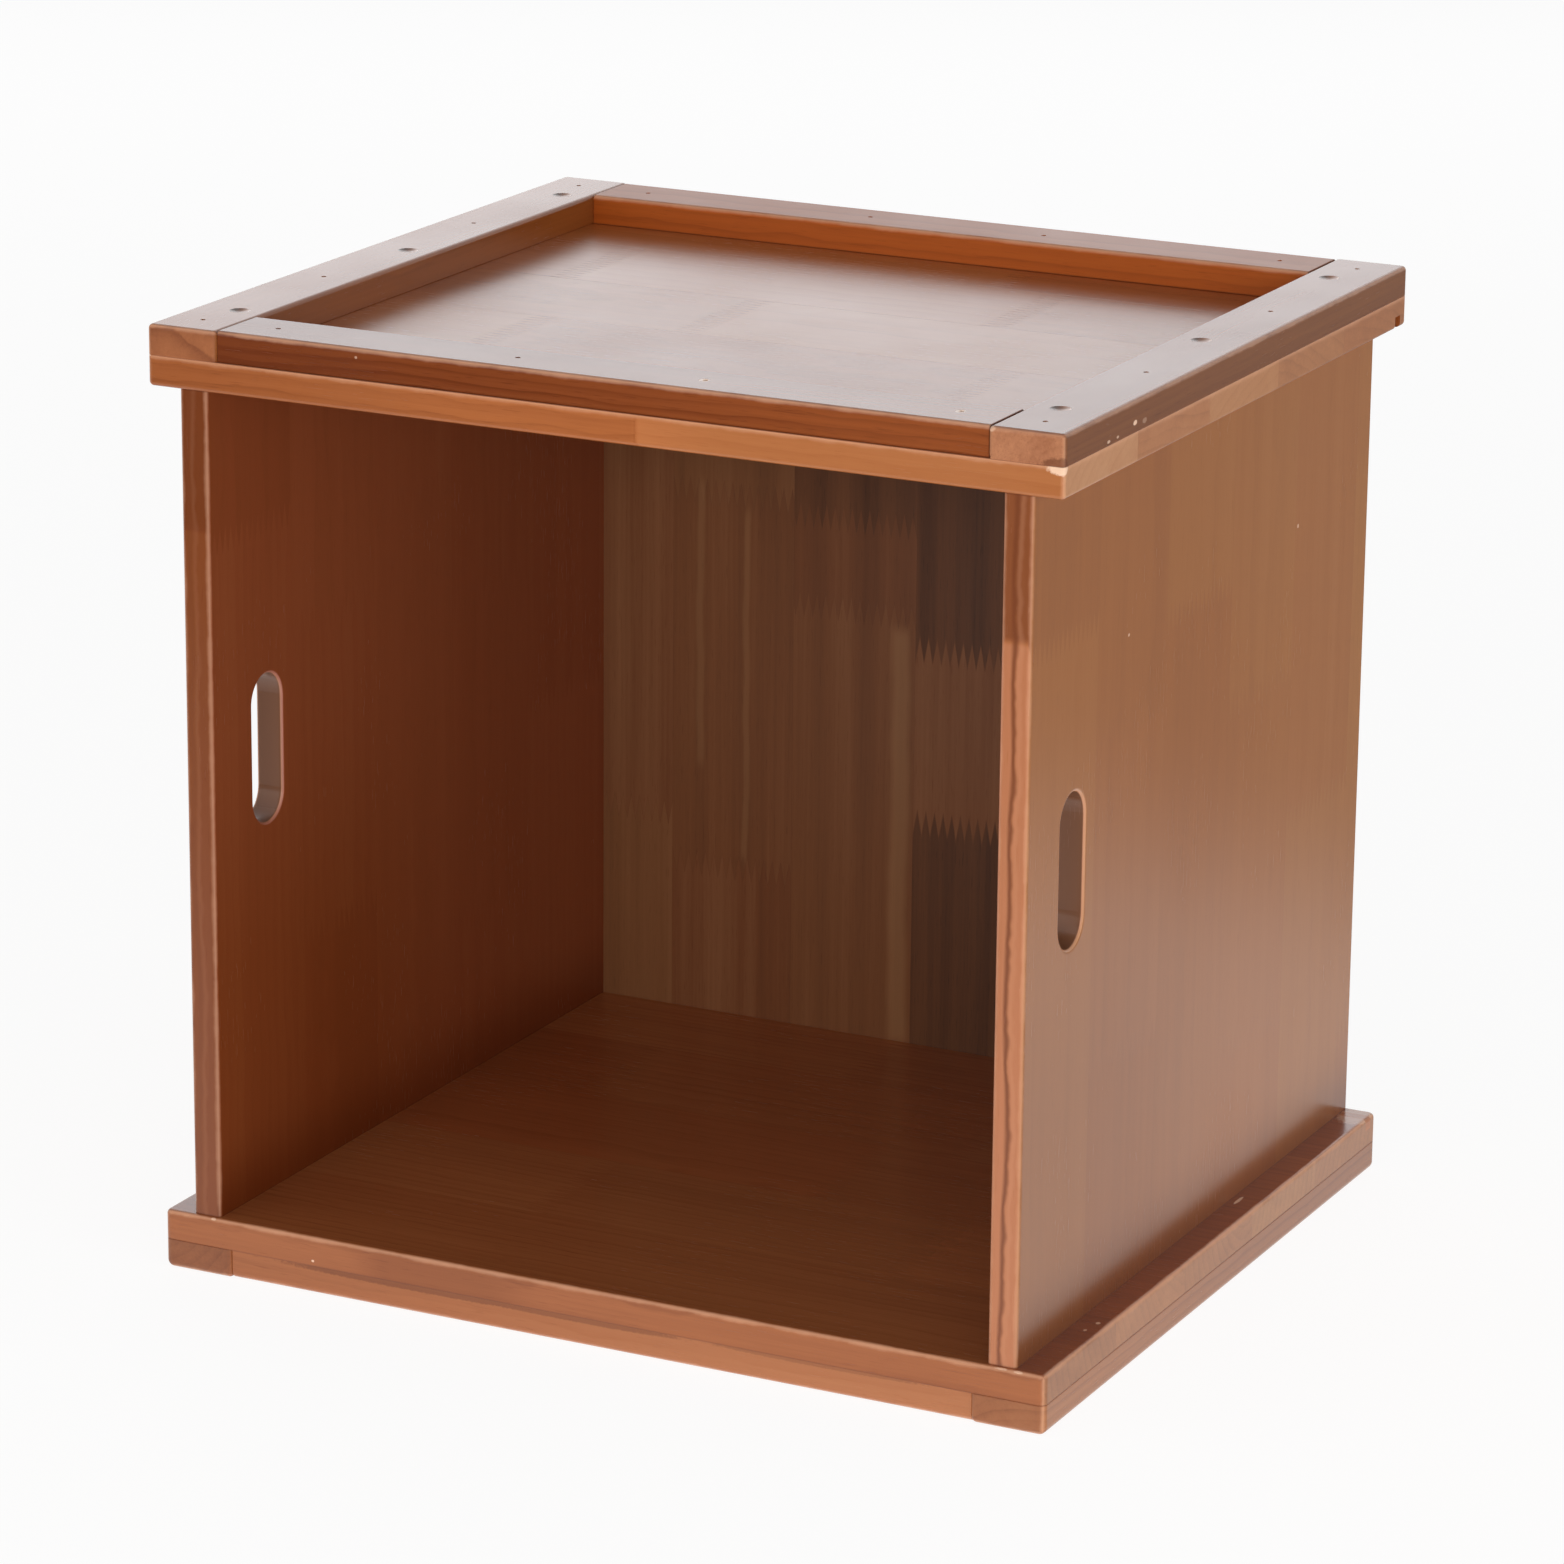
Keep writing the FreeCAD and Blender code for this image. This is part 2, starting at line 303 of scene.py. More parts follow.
def start_group(name, takes, gives):
    """An empty node group with named inputs and outputs, and its input end."""
    group = bpy.data.node_groups.new(name, "ShaderNodeTree")
    for direction, sockets in (("INPUT", takes), ("OUTPUT", gives)):
        for label, value in sockets.items():
            size = len(value) if hasattr(value, "__len__") else 1
            socket = group.interface.new_socket(label, in_out=direction, socket_type=socket_kinds[size])
            socket.default_value = value
    return group, group.nodes.new("NodeGroupInput").outputs


def finish_group(group, outputs):
    """Adds the output end of a group and wires it up."""
    result = group.nodes.new("NodeGroupOutput").inputs
    for label, value in outputs.items():
        connect(group, result[label], value)
    print("group:", group.name, "with", len(group.nodes), "nodes")
    return group


def use_group(tree, group, **inputs):
    """Places a group in a material. A socket named Ring Width is written ring_width here."""
    named = {label.replace("_", " ").title(): value for label, value in inputs.items()}
    return place(tree, "ShaderNodeGroup", named, node_tree=group).outputs


def noise(tree, vector, detail=2.0, roughness=0.5):
    """Cloudy noise between 0 and 1, at one cloud per unit of the vector."""
    inputs = {"Vector": vector, "Scale": 1.0, "Detail": detail, "Roughness": roughness}
    return place(tree, "ShaderNodeTexNoise", inputs).outputs["Fac"]


print("group helpers ready")

# %% [markdown]
# ## Finger-jointed staves
# The boards are glued up from staves about as wide as three fingers, and each stave from short
# blocks whose ends interlock in long teeth. Modelling each block as its own mesh would show the
# same flat face with many more pieces. Here a zigzag is added to the length along the stave, so
# that a plain comparison with a joint's place already gives a toothed edge. The block that a point
# lies in then picks its tone and the part of the tree that it was cut from.

# %% Stave group
blocks_per_stave = 3.0
flank_share = 5.0
pith_aside = (0.2, -0.1)
pith_below = (0.07, 0.025)
shift_range = 9.0


def make_stave_group():
    takes = {
        "Along": 0.0, "Across": 0.0, "First Edge": 0.0, "Stave Width": 0.06, "Stave": 0.0,
        "Joints": (0, 0, 0), "Tones": (0, 0, 0), "Board Start": 0.0, "Board Length": 0.38,
        "Tooth Length": 0.011, "Tooth Pitch": 0.004, "Glue Line": 0.00025, "Seed": 0.0,
    }
    gives = {"Tone": 0.0, "Hue": 0.0, "Seam": 0.0, "Shift": 0.0, "Pith": (0, 0, 0)}
    tree, given = start_group("Finger-jointed staves", takes, gives)

    half_pitch = times(tree, given["Tooth Pitch"], 0.5)
    zigzag = calc(tree, "DIVIDE", calc(tree, "PINGPONG", given["Across"], half_pitch), half_pitch)
    zigzag = minus(tree, zigzag, 0.5)
    toothed = ramp(tree, zigzag, given["Tooth Length"], given["Along"])

    joints = split(tree, given["Joints"])
    tones = split(tree, given["Tones"])
    tone = tones["X"]
    block = ramp(tree, given["Stave"], blocks_per_stave, given["Seed"])
    flank = times(tree, given["Glue Line"], flank_share)
    seam = 0.0
    for before, after in ("XY", "YZ"):
        joint = ramp(tree, joints[before], given["Board Length"], given["Board Start"])
        start = minus(tree, joint, half_pitch)
        end = calc(tree, "ADD", joint, half_pitch)
        step = minus(tree, tones[after], tones[before])
        tone = ramp(tree, fade(tree, toothed, start, end), step, tone)
        block = calc(tree, "ADD", block, calc(tree, "GREATER_THAN", toothed, joint))
        seam = calc(tree, "MAXIMUM", seam, fade(tree, gap(tree, toothed, joint), flank, 0.0))
    beside = minus(tree, given["Across"], given["First Edge"])
    half_stave = times(tree, given["Stave Width"], 0.5)
    off_edge = calc(tree, "PINGPONG", calc(tree, "ADD", beside, half_stave), half_stave)
    inset = minus(tree, half_stave, off_edge)
    seam = calc(tree, "MAXIMUM", seam, fade(tree, inset, given["Glue Line"], 0.0))

    chance = place(tree, "ShaderNodeTexWhiteNoise", {"W": block}, noise_dimensions="1D").outputs
    parts = place(tree, "ShaderNodeSeparateColor", {"Color": chance["Color"]}).outputs
    pith = join(tree, ramp(tree, parts["Red"], *pith_aside), ramp(tree, parts["Green"], *pith_below))
    shift = times(tree, chance["Value"], shift_range)
    return finish_group(
        tree, {"Tone": tone, "Hue": parts["Blue"], "Seam": seam, "Shift": shift, "Pith": pith})


stave_group = make_stave_group()

# %% [markdown]
# ## Grain
# Wood is a stack of growth rings round a pith. Painting lines on each face would not meet at the
# edges, so the rings are worked out in the solid: the distance from the pith, bent a little along
# the length, gives lines on the faces and arcs on the ends of the same board. Long thin noise adds
# the fibres, wider noise the lighter and darker streaks, and short dark dashes the open pores.
# Each kind of noise has two scales, along the grain and across it, in clouds per metre.

# %% Grain group
bend_scales = (5.0, 9.0)
ripple_scales = (28.0, 60.0)
streak_scales = (1.7, 85.0)
fibre_scales = (12.0, 800.0)
pore_scales = (110.0, 2200.0)
pore_step = (0.62, 0.75)
late_wood_power = 3.0
late_wood_end = 0.9
weather_swing = (0.6, 0.4)


def make_grain_group():
    takes = {
        "Along": 0.0, "Across": 0.0, "Through": 0.0, "Pith": (0, 0.05, 0), "Shift": 0.0,
        "Ring Width": 0.0045, "Waver": 0.006,
    }
    gives = {"Rings": 0.0, "Streaks": 0.0, "Fibres": 0.0, "Pores": 0.0}
    tree, given = start_group("Wood grain", takes, gives)

    def stretched(along_scale, cross_scale):
        along = ramp(tree, given["Along"], along_scale, given["Shift"])
        across = times(tree, given["Across"], cross_scale)
        through = times(tree, given["Through"], cross_scale)
        return join(tree, along, across, through)

    def swing(scales, amount):
        return times(tree, minus(tree, noise(tree, stretched(*scales)), 0.5), amount)

    pith = split(tree, given["Pith"])
    bend = swing(bend_scales, given["Waver"])
    aside = minus(tree, calc(tree, "ADD", given["Across"], bend), pith["X"])
    below = minus(tree, calc(tree, "ADD", given["Through"], bend), pith["Y"])
    radius = vector_calc(tree, "LENGTH", join(tree, aside, below))
    radius = calc(tree, "ADD", radius, swing(ripple_scales, given["Ring Width"]))
    years = calc(tree, "DIVIDE", radius, given["Ring Width"])
    season = calc(tree, "FRACT", years)
    late = calc(tree, "POWER", season, late_wood_power)
    late = times(tree, late, fade(tree, season, 1.0, late_wood_end))
    year = calc(tree, "ADD", calc(tree, "FLOOR", years), given["Shift"])
    weather = place(tree, "ShaderNodeTexWhiteNoise", {"W": year}, noise_dimensions="1D").outputs["Value"]
    strength = ramp(tree, weather, *weather_swing)
    return finish_group(tree, {
        "Rings": times(tree, late, strength),
        "Streaks": noise(tree, stretched(*streak_scales), 3.0, 0.6),
        "Fibres": noise(tree, stretched(*fibre_scales), 3.0, 0.6),
        "Pores": fade(tree, noise(tree, stretched(*pore_scales), 1.0), *pore_step),
    })


grain_group = make_grain_group()

# %% [markdown]
# ## Stain
# Stain sinks deeper into late wood and pores, so one number from dark to bright carries the whole
# figure, and three stain colours are laid along it. The tone of the block moves that number as a
# whole, and its hue leans the middle colour to red or to gold. End grain has a tint of its own. A
# tint is a colour that another one is multiplied by.

# %% Stain group
pore_depth = 0.12


def mix_colours(tree, share, first, second, way="MIX"):
    """Lays the second colour over the first by a share between 0 and 1."""
    node = place(tree, "ShaderNodeMix", data_type="RGBA", blend_type=way, clamp_factor=True)
    connect(tree, node.inputs[0], share)
    connect(tree, node.inputs[6], first)
    connect(tree, node.inputs[7], second)
    return node.outputs[2]


def tinted(tree, share, colour, tint):
    """Multiplies a colour by a tint, by a share between 0 and 1."""
    return mix_colours(tree, share, colour, tint, "MULTIPLY")


def make_stain_group():
    takes = {
        "Rings": 0.0, "Streaks": 0.5, "Fibres": 0.5, "Pores": 0.0, "Tone": 0.5, "Hue": 0.5,
        "Seam": 0.0, "End": 0.0, "Ring Depth": 0.5, "Streak Depth": 0.5, "Fibre Depth": 0.3,
        "Tone Depth": 0.5, "Seam Depth": 0.3, "Deep": (0, 0, 0, 1), "Red": (0, 0, 0, 1),
        "Gold": (0, 0, 0, 1), "Bright": (0, 0, 0, 1), "End Tint": (1, 1, 1, 1),
    }
    tree, given = start_group("Stain", takes, {"Color": (0, 0, 0, 1)})
    level = 0.5
    for source, depth in (("Tone", "Tone"), ("Streaks", "Streak"), ("Fibres", "Fibre")):
        swing = minus(tree, given[source], 0.5)
        level = ramp(tree, swing, given[depth + " Depth"], level)
    for source, depth in (
        ("Rings", given["Ring Depth"]), ("Seam", given["Seam Depth"]), ("Pores", pore_depth),
    ):
        level = minus(tree, level, times(tree, given[source], depth))
    body = mix_colours(tree, given["Hue"], given["Red"], given["Gold"])
    lower = mix_colours(tree, times(tree, level, 2.0), given["Deep"], body)
    upper_share = ramp(tree, level, 2.0, -1.0)
    colour = mix_colours(tree, upper_share, lower, given["Bright"])
    return finish_group(tree, {"Color": tinted(tree, given["End"], colour, given["End Tint"])})


stain_group = make_stain_group()

# %% [markdown]
# ## Worn arrises
# Sanding and handling thin the stain along the edges of a board. Blender can find edges from the
# mesh, but that depends on how the mesh is divided. Each board fills a box, so the middle one of
# the three distances to the box's faces is the distance to the nearest edge, on any face.

# %% Arris group
patch_scales = (60.0, 60.0, 60.0)
patch_swing = (1.6, 0.2)


def make_arris_group():
    takes = {"Position": (0, 0, 0), "Low Corner": (0, 0, 0), "High Corner": (1, 1, 1), "Wear Width": 0.002}
    tree, given = start_group("Worn arris", takes, {"Worn": 0.0})
    from_low = vector_calc(tree, "SUBTRACT", given["Position"], given["Low Corner"])
    from_high = vector_calc(tree, "SUBTRACT", given["High Corner"], given["Position"])
    depth = split(tree, vector_calc(tree, "MINIMUM", from_low, from_high))
    less = calc(tree, "MINIMUM", depth["X"], depth["Y"])
    more = calc(tree, "MAXIMUM", depth["X"], depth["Y"])
    middle = calc(tree, "MAXIMUM", less, calc(tree, "MINIMUM", more, depth["Z"]))
    scaled = vector_calc(tree, "MULTIPLY", given["Position"], patch_scales)
    patches = ramp(tree, noise(tree, scaled, 3.0, 0.6), *patch_swing)
    width = times(tree, given["Wear Width"], patches)
    return finish_group(tree, {"Worn": fade(tree, middle, width, 0.0)})


arris_group = make_arris_group()

# %% [markdown]
# ## Lacquer
# Satin lacquer is smooth but never perfect: it dries over dust, it sinks a little into pores and
# glue lines, and hands leave it slightly duller in places. The group turns those into a roughness
# and a height. The height goes to a bump node in each material.

# %% Lacquer group
hand_patch = 0.07
hand_swing = 0.16
dust_spacing = 0.022
dust_share = (0.93, 1.0)
dust_size = 0.03
least_dust = 0.01
peel_size = 0.004
peel_height = 0.12
nib_height = 2.0
roughness_steps = {"Pores": 0.03, "End": 0.1, "Worn": 0.06}
height_steps = {"Fibres": 0.05, "Pores": -0.1, "Seam": -0.5, "Chip": -2.0}


def make_lacquer_group():
    takes = {
        "Position": (0, 0, 0), "Fibres": 0.5, "Pores": 0.0, "Seam": 0.0, "End": 0.0, "Worn": 0.0,
        "Chip": 0.0, "Gloss": 0.36,
    }
    gives = {"Roughness": 0.4, "Height": 0.0, "Nibs": 0.0}
    tree, given = start_group("Satin lacquer", takes, gives)

    def scaled(size):
        return vector_calc(tree, "MULTIPLY", given["Position"], (1 / size, 1 / size, 1 / size))

    hands = minus(tree, noise(tree, scaled(hand_patch), 3.0), 0.5)
    rough = ramp(tree, hands, hand_swing, given["Gloss"])
    for source, amount in roughness_steps.items():
        rough = ramp(tree, given[source], amount, rough)

    dust = place(tree, "ShaderNodeTexVoronoi", {"Vector": scaled(dust_spacing), "Scale": 1.0}).outputs
    few = place(tree, "ShaderNodeSeparateColor", {"Color": dust["Color"]}).outputs["Red"]
    size = times(tree, fade(tree, few, *dust_share), dust_size)
    nibs = times(tree, fade(tree, dust["Distance"], size, 0.0), fade(tree, size, 0.0, least_dust))

    height = times(tree, noise(tree, scaled(peel_size), 1.0), peel_height)
    for source, amount in height_steps.items():
        height = ramp(tree, given[source], amount, height)
    height = ramp(tree, nibs, nib_height, height)
    return finish_group(tree, {"Roughness": rough, "Height": height, "Nibs": nibs})


lacquer_group = make_lacquer_group()

# %% [markdown]
# ## A dark growth line
# On the edge of a flat-sawn board one growth ring often runs from end to end as a single dark,
# wavering line, with a strip of pale early wood beside it. The ring lies inside the board and leans
# a little, so it is placed by the depth in the board and moves aside further in. Only the edge of
# the board cuts through it.

# %% Growth line group
shake_speed = 75.0
sway_speed = 14.0
shake_share = 0.45
width_swing = 2.2
pale_offset = 1.3


def make_line_group():
    takes = {
        "Along": 0.0, "Through": 0.0, "Inward": 0.0, "Depth": 0.0, "Lean": -0.3,
        "Line Width": 0.0017, "Sway": 0.006,
    }
    tree, given = start_group("Growth line", takes, {"Dark": 0.0, "Pale": 0.0})

    def waver(speed, detail):
        along = join(tree, times(tree, given["Along"], speed))
        return minus(tree, noise(tree, along, detail), 0.5)

    def strip(offset, width):
        return fade(tree, calc(tree, "ABSOLUTE", offset), width, 0.0)

    shake = waver(shake_speed, 2.0)
    sway = ramp(tree, shake, shake_share, waver(sway_speed, 1.0))
    centre = ramp(tree, sway, given["Sway"], given["Depth"])
    centre = ramp(tree, given["Inward"], given["Lean"], centre)
    width = times(tree, given["Line Width"], ramp(tree, shake, width_swing, 1.0))
    past = minus(tree, given["Through"], centre)
    beside = minus(tree, past, times(tree, given["Line Width"], pale_offset))
    return finish_group(tree, {"Dark": strip(past, width), "Pale": strip(beside, width)})


line_group = make_line_group()

# %% [markdown]
# ## Chipped spots and painted marks
# A used crate has small chipped spots where the stain is knocked off. Other marks are painted: a
# highlight on the lit rim of a small hollow, and shade in hollows and along a seam. Every mark is
# also pressed in a little by the bump. Each is a small ellipsoid round a point on the surface. Noise
# makes its outline ragged.

# %% Marking group
chip_noise_scales = (900, 900, 900)
chip_rim = (1.0, 0.7)


def make_chip_group():
    takes = {"Position": (0, 0, 0), "Centre": (0, 0, 0), "Reach": (0.001, 0.001, 0.001), "Ragged": 0.5}
    tree, given = start_group("Chip", takes, {"Chip": 0.0})
    offset = vector_calc(tree, "SUBTRACT", given["Position"], given["Centre"])
    offset = vector_calc(tree, "DIVIDE", offset, given["Reach"])
    radius = vector_calc(tree, "LENGTH", offset)
    fine = vector_calc(tree, "MULTIPLY", given["Position"], chip_noise_scales)
    rough = minus(tree, noise(tree, fine), 0.5)
    radius = ramp(tree, rough, given["Ragged"], radius)
    return finish_group(tree, {"Chip": fade(tree, radius, *chip_rim)})


chip_group = make_chip_group()

# %% [markdown]
# ## One recipe for every board
# A board has a direction along its grain, one across it and one through its thickness. With those
# three named, panels and rails go through the same recipe: where in the tree, what grain, which
# stain, how worn, how glossy. The recipe takes the finish as a small set of named values.

# %% Finish values
no_tint = (1.0, 1.0, 1.0, 1)
finish = {
    "deep": (0.150, 0.032, 0.008, 1),
    "red": (0.360, 0.098, 0.027, 1),
    "gold": (0.400, 0.130, 0.038, 1),
    "bright": (0.520, 0.200, 0.072, 1),
    "end_tint": no_tint,
    "ring_depth": 0.30,
    "streak_depth": 0.35,
    "fibre_depth": 0.20,
    "tone_depth": 0.5,
    "seam_depth": 0.25,
}
worn_colour = (0.76, 0.39, 0.23, 1)
# Raw wood, also used for a painted highlight.
raw_and_glint_colour = (0.90, 0.60, 0.42, 1)
# Painted shade, for seams and hollows.
painted_shade_colour = (0.11, 0.025, 0.008, 1)
line_colour = (0.18, 0.048, 0.016, 1)
pale_line_share = 0.15
nib_share = 0.6
bump_depth = 0.12 * mm
bump_strength = 0.3
lacquer_ior = 1.47
board_gloss = 0.24
print("stain colours:", [name for name, value in finish.items() if isinstance(value, tuple)])

# %% [markdown]
# Where two boards meet, their shared edge keeps its stain and isn't worn. The narrow crevice
# between them lies in shade, which is painted as a fine dark line. Each such face is named by its
# direction, such as +Z, with the strength of its line. The wear group is told that the board goes on
# past that face, and a narrow line of painted shade is laid along it. With a strength of 0 only the
# wear is kept off.

# %% Marks on a board
seam_reach = 0.8 * mm
far_past = {"-": -60 * mm, "+": 60 * mm}


def chip_mask(tree, position, marks):
    """One mask for a list of marks, each a centre and a reach in millimetres and a strength."""
    mask = 0.0
    for centre, reach, strength in marks:
        chip = use_group(
            tree, chip_group, position=position, centre=Vector(centre) * mm, reach=Vector(reach) * mm)
        mask = calc(tree, "MAXIMUM", mask, times(tree, chip["Chip"], strength))
    return mask


def meeting_lines(tree, axes, low, high, meets):
    """A mask of painted shade along the lines where a board meets others, and its box stretched past them.
    """
    mask = 0.0
    reach = {"-": low.copy(), "+": high.copy()}
    for (direction, axis), strength in dict(meets).items():
        number = "XYZ".index(axis)
        distance = gap(tree, axes[axis], reach[direction][number])
        reach[direction][number] += far_past[direction]
        line = times(tree, fade(tree, distance, seam_reach, 0.0), strength)
        mask = calc(tree, "MAXIMUM", mask, line)
    return mask, reach["-"], reach["+"]


print("a seam shades", seam_reach / mm, "mm")

# %% [markdown]
# The recipe itself reads from the wood outwards: the tree, the stain, tints for the edges, lines
# and wear, and the lacquer on top. Whatever only one board has goes into a function of its own,
# which the recipe calls as extra.

# %% Stained board
end_step = (0.55, 0.9)
edge_step = (0.4, 0.9)


def stained_board(node, grain, tree_source, shades=(), figure=(), meets=(), edge_tint=no_tint,
                  edge_tone=0.0, end_rings=0.0, chips=(), painted_shade_marks=(), line=None, worn=0.5,
                  gloss=board_gloss, extra=None):
    """Gives one board its wood. The grain names its axes, such as XYZ: along, across, through."""
    material = empty_material(node + "_wood")
    tree = material.node_tree
    place_on = place(tree, "ShaderNodeTexCoord").outputs
    spot = place_on["Object"]
    axes = split(tree, spot)
    facing = split(tree, place_on["Normal"])
    along, across, through = (axes[axis] for axis in grain)
    end = fade(tree, calc(tree, "ABSOLUTE", facing[grain[0]]), *end_step)
    edge = fade(tree, calc(tree, "ABSOLUTE", facing[grain[1]]), *edge_step)

    source = tree_source(tree, along, across)
    grown = use_group(
        tree, grain_group, along=along, across=across, through=through,
        pith=source["Pith"], shift=source["Shift"], **dict(figure))
    stain = {**finish, **dict(shades)}
    stain["tone_depth"] = ramp(tree, edge, edge_tone, stain["tone_depth"])
    stain["ring_depth"] = ramp(tree, end, end_rings, stain["ring_depth"])
    colour = use_group(
        tree, stain_group, rings=grown["Rings"], streaks=grown["Streaks"], fibres=grown["Fibres"],
        pores=grown["Pores"], tone=source["Tone"], hue=source["Hue"], seam=source["Seam"], end=end,
        **stain)["Color"]
    colour = tinted(tree, edge, colour, edge_tint)
    low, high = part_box(node)
    if line:
        depth, share = line
        inward = minus(tree, across, low["XYZ".index(grain[1])])
        ring = use_group(tree, line_group, along=along, through=through, inward=inward, depth=depth)
        shown = times(tree, edge, share)
        colour = mix_colours(tree, times(tree, ring["Pale"], shown, pale_line_share), colour, worn_colour)
        colour = mix_colours(tree, times(tree, ring["Dark"], shown), colour, line_colour)
    if extra:
        colour = extra(tree, colour, axes, facing)
    seam_shade, reach_low, reach_high = meeting_lines(tree, axes, low, high, meets)
    wear = use_group(
        tree, arris_group, position=spot, low_corner=reach_low, high_corner=reach_high)["Worn"]
    colour = mix_colours(tree, times(tree, wear, worn), colour, worn_colour)
    # Painted shade along the seams where boards meet.
    colour = mix_colours(tree, seam_shade, colour, painted_shade_colour)
    chip = chip_mask(tree, spot, chips)
    shade_mark = chip_mask(tree, spot, painted_shade_marks)
    coat = use_group(
        tree, lacquer_group, position=spot, fibres=grown["Fibres"], pores=grown["Pores"],
        seam=source["Seam"], end=end, worn=wear, gloss=gloss, chip=calc(tree, "MAXIMUM", chip, shade_mark))
    colour = mix_colours(tree, times(tree, coat["Nibs"], nib_share), colour, raw_and_glint_colour)
    # Painted shade in hollows and along a seam.
    colour = mix_colours(tree, shade_mark, colour, painted_shade_colour)
    # Bared wood where the stain is knocked off, and one painted highlight.
    colour = mix_colours(tree, chip, colour, raw_and_glint_colour)

    bumps = {"Height": coat["Height"], "Distance": bump_depth, "Strength": bump_strength}
    bump = place(tree, "ShaderNodeBump", bumps)
    lacquer = place(tree, "ShaderNodeBsdfPrincipled", {
        "Base Color": colour,
        "Roughness": coat["Roughness"],
        "Normal": bump.outputs["Normal"],
        "IOR": lacquer_ior,
    })
    place(tree, "ShaderNodeOutputMaterial", {"Surface": lacquer.outputs["BSDF"]})
    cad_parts[node].data.materials.clear()
    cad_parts[node].data.materials.append(material)
    print(node, "is dressed in", material.name)


print("recipe ready with", len(finish), "finish values")

# %% [markdown]
# ## The panels
# A glued-up panel needs two things that differ from stave to stave: where its finger joints fall
# and how dark its three blocks came out. A colour ramp with constant stops serves as a small table
# with one row for each stave. Red, green and blue carry the three numbers of the row.

# %% Tables of staves
no_joint = 2.0


def table(tree, share, rows):
    """Looks up a row of three numbers in a colour ramp with one constant stop for each row."""
    lookup = place(tree, "ShaderNodeValToRGB", {"Fac": share})
    lookup.color_ramp.interpolation = "CONSTANT"
    stops = lookup.color_ramp.elements
    while len(stops) < len(rows):
        stops.new(len(stops) / len(rows))
    for number, row in enumerate(rows):
        stops[number].position = number / len(rows)
        stops[number].color = (*row, 1)
    return lookup.outputs["Color"]


def stave_board(node, grain, first_edge, width, staves, seed, shades, **options):
    """Dresses a board of staves of one width in millimetres, each a list of joints and a list of tones."""
    number = "XYZ".index(grain[0])
    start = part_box(node)[0][number]
    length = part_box(node)[1][number] - start
    joints = []
    tones = []
    for places, levels in staves:
        shares = [(place_mm * mm - start) / length for place_mm in places]
        joints.append((shares + [no_joint] * 3)[:3])
        tones.append((levels + [levels[-1]] * 3)[:3])

    def source(tree, along, across):
        beside = minus(tree, across, first_edge * mm)
        stave = calc(tree, "FLOOR", calc(tree, "DIVIDE", beside, width * mm))
        share = calc(tree, "DIVIDE", calc(tree, "ADD", stave, 0.5), len(staves))
        return use_group(
            tree, stave_group, along=along, across=across, first_edge=first_edge * mm,
            stave_width=width * mm, stave=stave, joints=table(tree, share, joints),
            tones=table(tree, share, tones), board_start=start, board_length=length, seed=seed)

    stained_board(node, grain, source, shades, **options)


print("tables ready")

# %% [markdown]
# The top and bottom panels have five staves each, written from the front to the back. A pair of
# numbers says where the first stave starts and how wide each is, in millimetres. Joints are
# millimetres to the right of the crate's middle. Light has bleached the middle of the top panel's
# front edge. The bottom panel's front arris has lost its stain nearly from end to end, where things
# were pulled out over it. Part of its front edge is darker. Shade is painted on its ledges beside the
# side panels, and light is painted on its floor inside the bay. A painted highlight on the right
# ledge stands for the lit rim of a small hollow.

# %% Top and bottom panels
long_grain = (-168, 67)
top_staves = [
    ([24], [0.5, 0.95]),
    ([-90, 110], [0.6, 0.4, 0.5]),
    ([-30], [0.4, 0.6]),
    ([-120, 70], [0.55, 0.7, 0.4]),
    ([40], [0.5, 0.35]),
]
bottom_staves = [
    ([], [0.22]),
    ([-60, 95], [0.35, 0.25, 0.4]),
    ([30], [0.4, 0.3]),
    ([-110, 60], [0.3, 0.4, 0.35]),
    ([-20], [0.4, 0.3]),
]
pale_end = {"end_tint": (1.2, 1.65, 2.4, 1), "seam_depth": 0.12, "ring_depth": 0.16, "streak_depth": 0.28}
bottom_end = {**pale_end, "end_tint": (1.1, 1.52, 2.1, 1)}
corner_splinter = [((190, -166, 367.4), (7.8, 3, 2.8), 1.0), ((-190, -166, 368), (1.6, 2, 0.7), 1.0)]
base_chips = [
    ((-122.5, -166, 14.2), (0.7, 1, 0.6), 0.9),
    ((-167.8, -166, 23.6), (1.4, 1.5, 0.6), 0.8),
    ((172, -166, 23.8), (3.5, 1.5, 0.6), 0.6),
    ((179, -166, 23.6), (2.5, 1.5, 0.6), 0.6),
    ((185.3, -106.9, 24), (1.0, 1.4, 0.6), 0.8),
    ((183.9, -115.8, 24), (0.8, 1.2, 0.6), 0.8),
    # A painted highlight: the lit rim of a small hollow on the right ledge.
    ((180.6, 41.5, 24), (0.9, 5.2, 0.6), 0.9),
    ((185, 157, 24), (9, 11, 1.6), 0.4),
]
front_step = (-0.5, -0.9)
upper_step = (0.6, 0.95)
bleached_left = (0.90, 0.84, 0.80, 1)
bleached_middle = (1.12, 1.10, 1.12, 1)
front_shade = (0.80, 0.75, 0.70, 1)
# Painted shade for the ledges, and painted light for the floor of the bay.
ledge_painted_shade = (0.80, 0.62, 0.42, 1)
bay_painted_light = (1.15, 1.28, 1.5, 1)


def fade_mm(tree, value, start, end):
    """A soft step between two places in millimetres."""
    return fade(tree, value, start * mm, end * mm)


def bleached_front(tree, colour, axes, facing):
    """Lightens the top panel's front edge towards its middle."""
    front = fade(tree, facing["Y"], *front_step)
    left = times(tree, front, fade_mm(tree, axes["X"], -40, -180))
    middle = times(
        tree, front, fade_mm(tree, axes["X"], -150, -10), fade_mm(tree, axes["X"], 60, 10))
    colour = tinted(tree, left, colour, bleached_left)
    return tinted(tree, middle, colour, bleached_middle)


